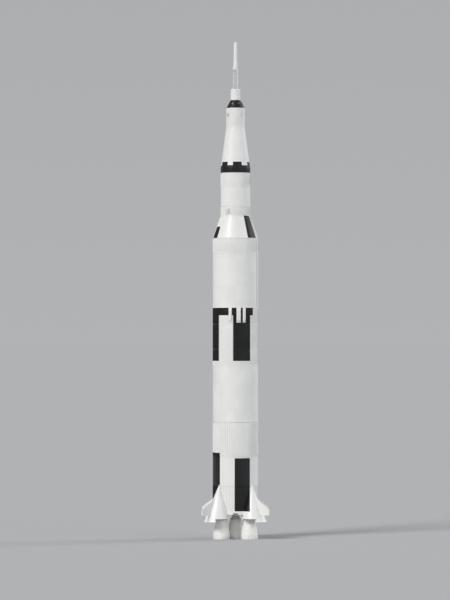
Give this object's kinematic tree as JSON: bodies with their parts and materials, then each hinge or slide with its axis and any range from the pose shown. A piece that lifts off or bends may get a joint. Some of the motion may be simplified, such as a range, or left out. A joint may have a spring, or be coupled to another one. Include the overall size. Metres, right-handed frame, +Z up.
{
  "type": "three-stage space rocket, 1:10 scale model",
  "caption": "White and black moon rocket as a 1:10 scale model: finned first stage with swivelling engine bells, upper stages, adapter cone, capsule with hatch and escape tower.",
  "frame": {"origin": "on the floor under the rocket's long axis, in the plane of the five engine bell mouths", "axes": "+Z up along the rocket's long axis, +X to the right of the pictured side (the hatch side), the pictured side faces -Y"},
  "size_m": [1.5132, 1.5132, 11.06],
  "materials": {
    "white_paint": "satin white paint with black panels",
    "black_paint": "satin black paint",
    "bell_insulation": "pale quilted insulation outside, dark tube wall inside",
    "joint_steel": "machined steel",
    "shield_coating": "matt pale heat shield coating in panels",
    "inner_mass": "plain dark block, closed in"
  },
  "bodies": {
    "root": {"centre_engine": "bell_insulation", "base_heat_shield": "shield_coating", "thrust_structure": "white_paint", "engine_fairing_back_right": "white_paint", "engine_fairing_back_left": "white_paint", "engine_fairing_front_left": "white_paint", "engine_fairing_front_right": "white_paint", "fin_back_right": "white_paint", "fin_back_left": "white_paint", "fin_front_left": "white_paint", "fin_front_right": "white_paint", "fuel_tank": "white_paint", "intertank": "white_paint", "oxidiser_tank": "white_paint", "first_stage_forward_skirt": "white_paint", "first_interstage": "white_paint", "first_stage_tunnel_left": "white_paint", "first_stage_tunnel_right": "white_paint", "second_stage_engine_block": "inner_mass", "second_stage_aft_skirt": "black_paint", "second_stage_tank": "white_paint", "second_stage_forward_skirt": "white_paint", "second_stage_tunnel": "white_paint", "second_interstage": "white_paint", "feed_line_fairing_1": "white_paint", "feed_line_fairing_2": "white_paint", "feed_line_fairing_3": "white_paint", "feed_line_fairing_4": "white_paint", "feed_line_fairing_5": "white_paint", "third_stage_engine_block": "inner_mass", "third_stage_aft_skirt": "white_paint", "third_stage_tank": "white_paint", "third_stage_forward_skirt": "white_paint", "third_stage_tunnel": "white_paint", "attitude_pod_front": "white_paint", "attitude_pod_back": "white_paint", "instrument_ring": "black_paint", "adapter_base": "white_paint", "adapter_panels": "white_paint", "lander_block": "inner_mass", "service_module": "white_paint", "capsule_base": "black_paint", "capsule_wall": "black_paint", "capsule_cover": "white_paint", "escape_tower": "white_paint", "escape_motor": "white_paint"},
    "back_right_cross": {"gimbal_back_right": "joint_steel"},
    "back_right_engine": {"engine_back_right": "bell_insulation"},
    "back_left_cross": {"gimbal_back_left": "joint_steel"},
    "back_left_engine": {"engine_back_left": "bell_insulation"},
    "front_left_cross": {"gimbal_front_left": "joint_steel"},
    "front_left_engine": {"engine_front_left": "bell_insulation"},
    "front_right_cross": {"gimbal_front_right": "joint_steel"},
    "front_right_engine": {"engine_front_right": "bell_insulation"},
    "hatch": {"capsule_hatch": "black_paint"}
  },
  "joints": [
    {"name": "back_right_engine_in_out", "type": "hinge", "parent": "root", "child": "back_right_cross", "pos_m": [0.30971, 0.30971, 0.575], "axis": [-0.7071, 0.7071, 0], "range_deg": [-5, 5]},
    {"name": "back_right_engine_sideways", "type": "hinge", "parent": "back_right_cross", "child": "back_right_engine", "pos_m": [0.30971, 0.30971, 0.575], "axis": [0.7071, 0.7071, 0], "range_deg": [-5, 5]},
    {"name": "back_left_engine_in_out", "type": "hinge", "parent": "root", "child": "back_left_cross", "pos_m": [-0.30971, 0.30971, 0.575], "axis": [-0.7071, -0.7071, 0], "range_deg": [-5, 5]},
    {"name": "back_left_engine_sideways", "type": "hinge", "parent": "back_left_cross", "child": "back_left_engine", "pos_m": [-0.30971, 0.30971, 0.575], "axis": [-0.7071, 0.7071, 0], "range_deg": [-5, 5]},
    {"name": "front_left_engine_in_out", "type": "hinge", "parent": "root", "child": "front_left_cross", "pos_m": [-0.30971, -0.30971, 0.575], "axis": [0.7071, -0.7071, 0], "range_deg": [-5, 5]},
    {"name": "front_left_engine_sideways", "type": "hinge", "parent": "front_left_cross", "child": "front_left_engine", "pos_m": [-0.30971, -0.30971, 0.575], "axis": [-0.7071, -0.7071, 0], "range_deg": [-5, 5]},
    {"name": "front_right_engine_in_out", "type": "hinge", "parent": "root", "child": "front_right_cross", "pos_m": [0.30971, -0.30971, 0.575], "axis": [0.7071, 0.7071, 0], "range_deg": [-5, 5]},
    {"name": "front_right_engine_sideways", "type": "hinge", "parent": "front_right_cross", "child": "front_right_engine", "pos_m": [0.30971, -0.30971, 0.575], "axis": [0.7071, -0.7071, 0], "range_deg": [-5, 5]},
    {"name": "capsule_hatch_hinge", "type": "hinge", "parent": "root", "child": "hatch", "pos_m": [0.15211, -0.04861, 9.68485], "axis": [0.453, -0.1447, -0.8797], "range_deg": [0, 100]}
  ]
}
